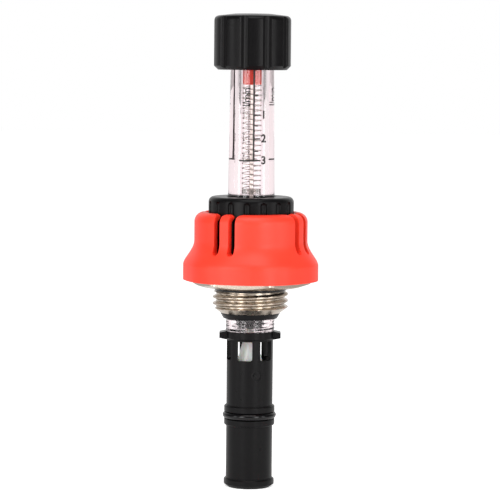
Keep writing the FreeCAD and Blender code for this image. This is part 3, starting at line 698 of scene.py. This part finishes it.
class METER_OT_scale(bpy.types.Operator):
    """Print the scale and its figures round the sight tube"""

    bl_idname = "meter.scale"
    bl_label = "Print the scale"

    def execute(self, context):
        sizes = context.scene.meter_scale
        builder = bmesh.new()
        half = sizes.line / 2
        low = SCALE_MARKS[-1][1] * MM
        bar(builder, -half, half, low, SPINE_TOP, steps=1)
        for mark, height in SCALE_MARKS:
            z = height * MM
            whole = mark == int(mark)
            bar(builder, half, TICK_LONG if whole else TICK_SHORT, z - TICK_HALF, z + TICK_HALF)
            if whole:
                words(builder, str(mark), sizes.figure * FONT_SHARE, (FIGURE_PLACE, z),
                      weight=FIGURE_WEIGHT)
        reach = half * FULL_LINE_SHARE
        bar(builder, FULL_LINE_LEFT, half, low - reach, low + reach, steps=10)
        words(builder, "l/min", UNIT_SIZE, UNIT_PLACE, turn=math.radians(90),
              spacing=UNIT_SPACING, weight=UNIT_WEIGHT)
        bmesh.ops.remove_doubles(builder, verts=builder.verts, dist=WELD)
        printed(builder)
        bmesh.ops.recalc_face_normals(builder, faces=builder.faces)
        base = bpy.data.meshes.new("one_scale")
        builder.to_mesh(base)
        builder.free()
        tree = bpy.data.node_groups.new("scales_round_tube", "GeometryNodeTree")
        tree.interface.new_socket("Geometry", in_out="INPUT", socket_type="NodeSocketGeometry")
        count = tree.interface.new_socket("Copies", in_out="INPUT", socket_type="NodeSocketInt")
        step = tree.interface.new_socket("Step", in_out="INPUT", socket_type="NodeSocketFloat")
        tree.interface.new_socket("Geometry", in_out="OUTPUT", socket_type="NodeSocketGeometry")
        given = add_node(tree, "NodeGroupInput").outputs
        line = add_node(tree, "GeometryNodeMeshLine", Count=given["Copies"], Offset=(0, 0, 0))
        index = add_node(tree, "GeometryNodeInputIndex").outputs[0]
        turn = add_node(tree, "ShaderNodeMath", {"operation": "MULTIPLY"},
                        _0=index, _1=given["Step"])
        angles = add_node(tree, "ShaderNodeCombineXYZ", Z=turn.outputs[0])
        placed = add_node(tree, "GeometryNodeInstanceOnPoints", Points=line.outputs[0],
                          Instance=given["Geometry"], Rotation=angles.outputs[0])
        end_tree(tree, placed.outputs[0], "print_ink")
        inputs = {"Copies": (count, sizes.copies), "Step": (step, sizes.step)}
        mesh = grown("scale_print", tree, inputs, base)
        finish_mesh("scale_print", mesh, material("print_ink"), "regulator",
                    angle=30)
        return {"FINISHED"}


class METER_OT_stage(bpy.types.Operator):
    """Set up the floor, backdrop, lamps and camera"""

    bl_idname = "meter.stage"
    bl_label = "Set up the studio"

    def execute(self, context):
        scene = context.scene
        self.world(scene)
        self.floor(scene)
        self.lamps(scene)
        self.camera(scene)
        scene.view_settings.view_transform = "Standard"
        return {"FINISHED"}

    def world(self, scene):
        """White to the eye and through the glass, a plain level as light, a dim room for gloss."""
        world = bpy.data.worlds.new("studio")
        world.use_nodes = True
        tree = world.node_tree
        tree.nodes.clear()
        path = add_node(tree, "ShaderNodeLightPath")
        clear = add_node(tree, "ShaderNodeMath", {"operation": "MAXIMUM"},
                         _0=path.outputs["Is Camera Ray"], _1=path.outputs["Is Transmission Ray"])
        way = add_node(tree, "ShaderNodeTexCoord").outputs["Generated"]
        ahead = add_node(tree, "ShaderNodeSeparateXYZ", Vector=way).outputs["Y"]
        room = add_node(tree, "ShaderNodeMapRange", {"interpolation_type": "SMOOTHSTEP"},
                        Value=ahead,
                        From_Min=0.25, From_Max=1.0, To_Min=0.12, To_Max=1.0)
        plain = add_node(tree, "ShaderNodeMapRange", Value=clear.outputs[0],
                         To_Min=0.46, To_Max=1.0)
        level = add_node(tree, "ShaderNodeMix", {"data_type": "FLOAT"},
                         Factor=path.outputs["Is Glossy Ray"], A=plain.outputs["Result"],
                         B=room.outputs["Result"])
        back = add_node(tree, "ShaderNodeBackground", Color=(1, 1, 1, 1),
                        Strength=level.outputs[0])
        output = add_node(tree, "ShaderNodeOutputWorld")
        tree.links.new(back.outputs[0], output.inputs["Surface"])
        scene.world = world

    def floor(self, scene):
        """A wide white floor under the meter's lowest edge."""
        mesh = bmesh.new()
        bmesh.ops.create_grid(mesh, x_segments=1, y_segments=1, size=3.0)
        bmesh.ops.translate(mesh, verts=mesh.verts, vec=(0, 0, FLOOR_HEIGHT))
        data = bpy.data.meshes.new("floor")
        mesh.to_mesh(data)
        mesh.free()
        finish, tree, output = new_material("white_card")
        path = add_node(tree, "ShaderNodeLightPath")
        clear = add_node(tree, "ShaderNodeMath", {"operation": "MAXIMUM"},
                         _0=path.outputs["Is Camera Ray"], _1=path.outputs["Is Transmission Ray"])
        seen = add_node(tree, "ShaderNodeMath", {"operation": "MULTIPLY_ADD", "use_clamp": True},
                        _0=path.outputs["Is Glossy Ray"], _1=0.2, _2=clear.outputs[0])
        card = add_node(tree, "ShaderNodeBsdfDiffuse", Color=linear(scene.meter_colours.floor))
        glow = add_node(tree, "ShaderNodeEmission", Color=(1, 1, 1, 1), Strength=0.6)
        lit = add_node(tree, "ShaderNodeAddShader", _0=card.outputs[0], _1=glow.outputs[0])
        mixed = add_node(tree, "ShaderNodeMixShader", _0=seen.outputs[0], _1=card.outputs[0],
                         _2=lit.outputs[0])
        tree.links.new(mixed.outputs[0], output.inputs["Surface"])
        data.materials.append(finish)
        floor = bpy.data.objects.new("floor", data)
        scene.collection.objects.link(floor)

    def lamps(self, scene):
        """Tall soft boxes left and right in front and at the sides, and one above."""
        for name, azimuth, elevation, distance, size, tall, power in (
                ("left_box", -33, 8, 0.55, 0.16, 0.5, 1.3),
                ("right_box", 31, 8, 0.55, 0.16, 0.5, 1.2),
                ("left_side_box", -64, 5, 0.6, 0.14, 0.5, 0.7),
                ("right_side_box", 64, 5, 0.6, 0.14, 0.5, 0.7),
                ("top_box", 0, 70, 0.6, 0.4, 0.4, 1.6)):
            lamp = bpy.data.lights.new(name, "AREA")
            lamp.shape = "RECTANGLE"
            lamp.size = size
            lamp.size_y = tall
            lamp.energy = power
            holder = bpy.data.objects.new(name, lamp)
            flat = distance * math.cos(math.radians(elevation))
            spot = Vector((flat * math.sin(math.radians(azimuth)),
                           -flat * math.cos(math.radians(azimuth)),
                           distance * math.sin(math.radians(elevation))))
            holder.location = spot
            holder.rotation_euler = (-spot).to_track_quat("-Z", "Y").to_euler()
            scene.collection.objects.link(holder)

    def camera(self, scene):
        """Long lens, slightly above the sight tube, looking a little down."""
        focal = 2412
        lens = bpy.data.cameras.new("camera")
        lens.sensor_width = 36
        lens.lens = focal * 36 / 500
        lens.clip_start = 0.01
        holder = bpy.data.objects.new("camera", lens)
        pitch = math.radians(-4.65)
        eye = Vector((-0.00021, -0.667, 0.0657))
        look = Matrix.Rotation(math.radians(90) + pitch, 4, "X")
        roll = Matrix.Rotation(math.radians(0.52), 4, "Z")
        holder.matrix_world = Matrix.Translation(eye) @ look @ roll
        scene.collection.objects.link(holder)
        scene.camera = holder


class METER_PT_panel(bpy.types.Panel):
    """Lists the meter's steps in the sidebar"""

    bl_label = "Flow Meter"
    bl_idname = "METER_PT_panel"
    bl_space_type = "VIEW_3D"
    bl_region_type = "UI"
    bl_category = "Flow Meter"

    def draw(self, context):
        for step in STEPS:
            self.layout.operator(step.bl_idname)


STEPS = (METER_OT_mouldings, METER_OT_body, METER_OT_sight_tube, METER_OT_spring,
         METER_OT_scale, METER_OT_stage)
GROUPS = (("meter_threads", ThreadSizes), ("meter_spring", SpringSizes),
          ("meter_scale", ScaleSizes), ("meter_colours", Colours))


def register():
    for name, group in GROUPS:
        bpy.utils.register_class(group)
        setattr(bpy.types.Scene, name, PointerProperty(type=group))
    for step in STEPS:
        bpy.utils.register_class(step)
    bpy.utils.register_class(METER_PT_panel)


def unregister():
    bpy.utils.unregister_class(METER_PT_panel)
    for step in reversed(STEPS):
        bpy.utils.unregister_class(step)
    for name, group in reversed(GROUPS):
        delattr(bpy.types.Scene, name)
        bpy.utils.unregister_class(group)


def main():
    """Build everything in order."""
    register()
    bpy.ops.meter.mouldings()
    bpy.ops.meter.body()
    bpy.ops.meter.sight_tube()
    bpy.ops.meter.spring()
    bpy.ops.meter.scale()
    bpy.ops.meter.stage()


if __name__ == "__main__":
    main()
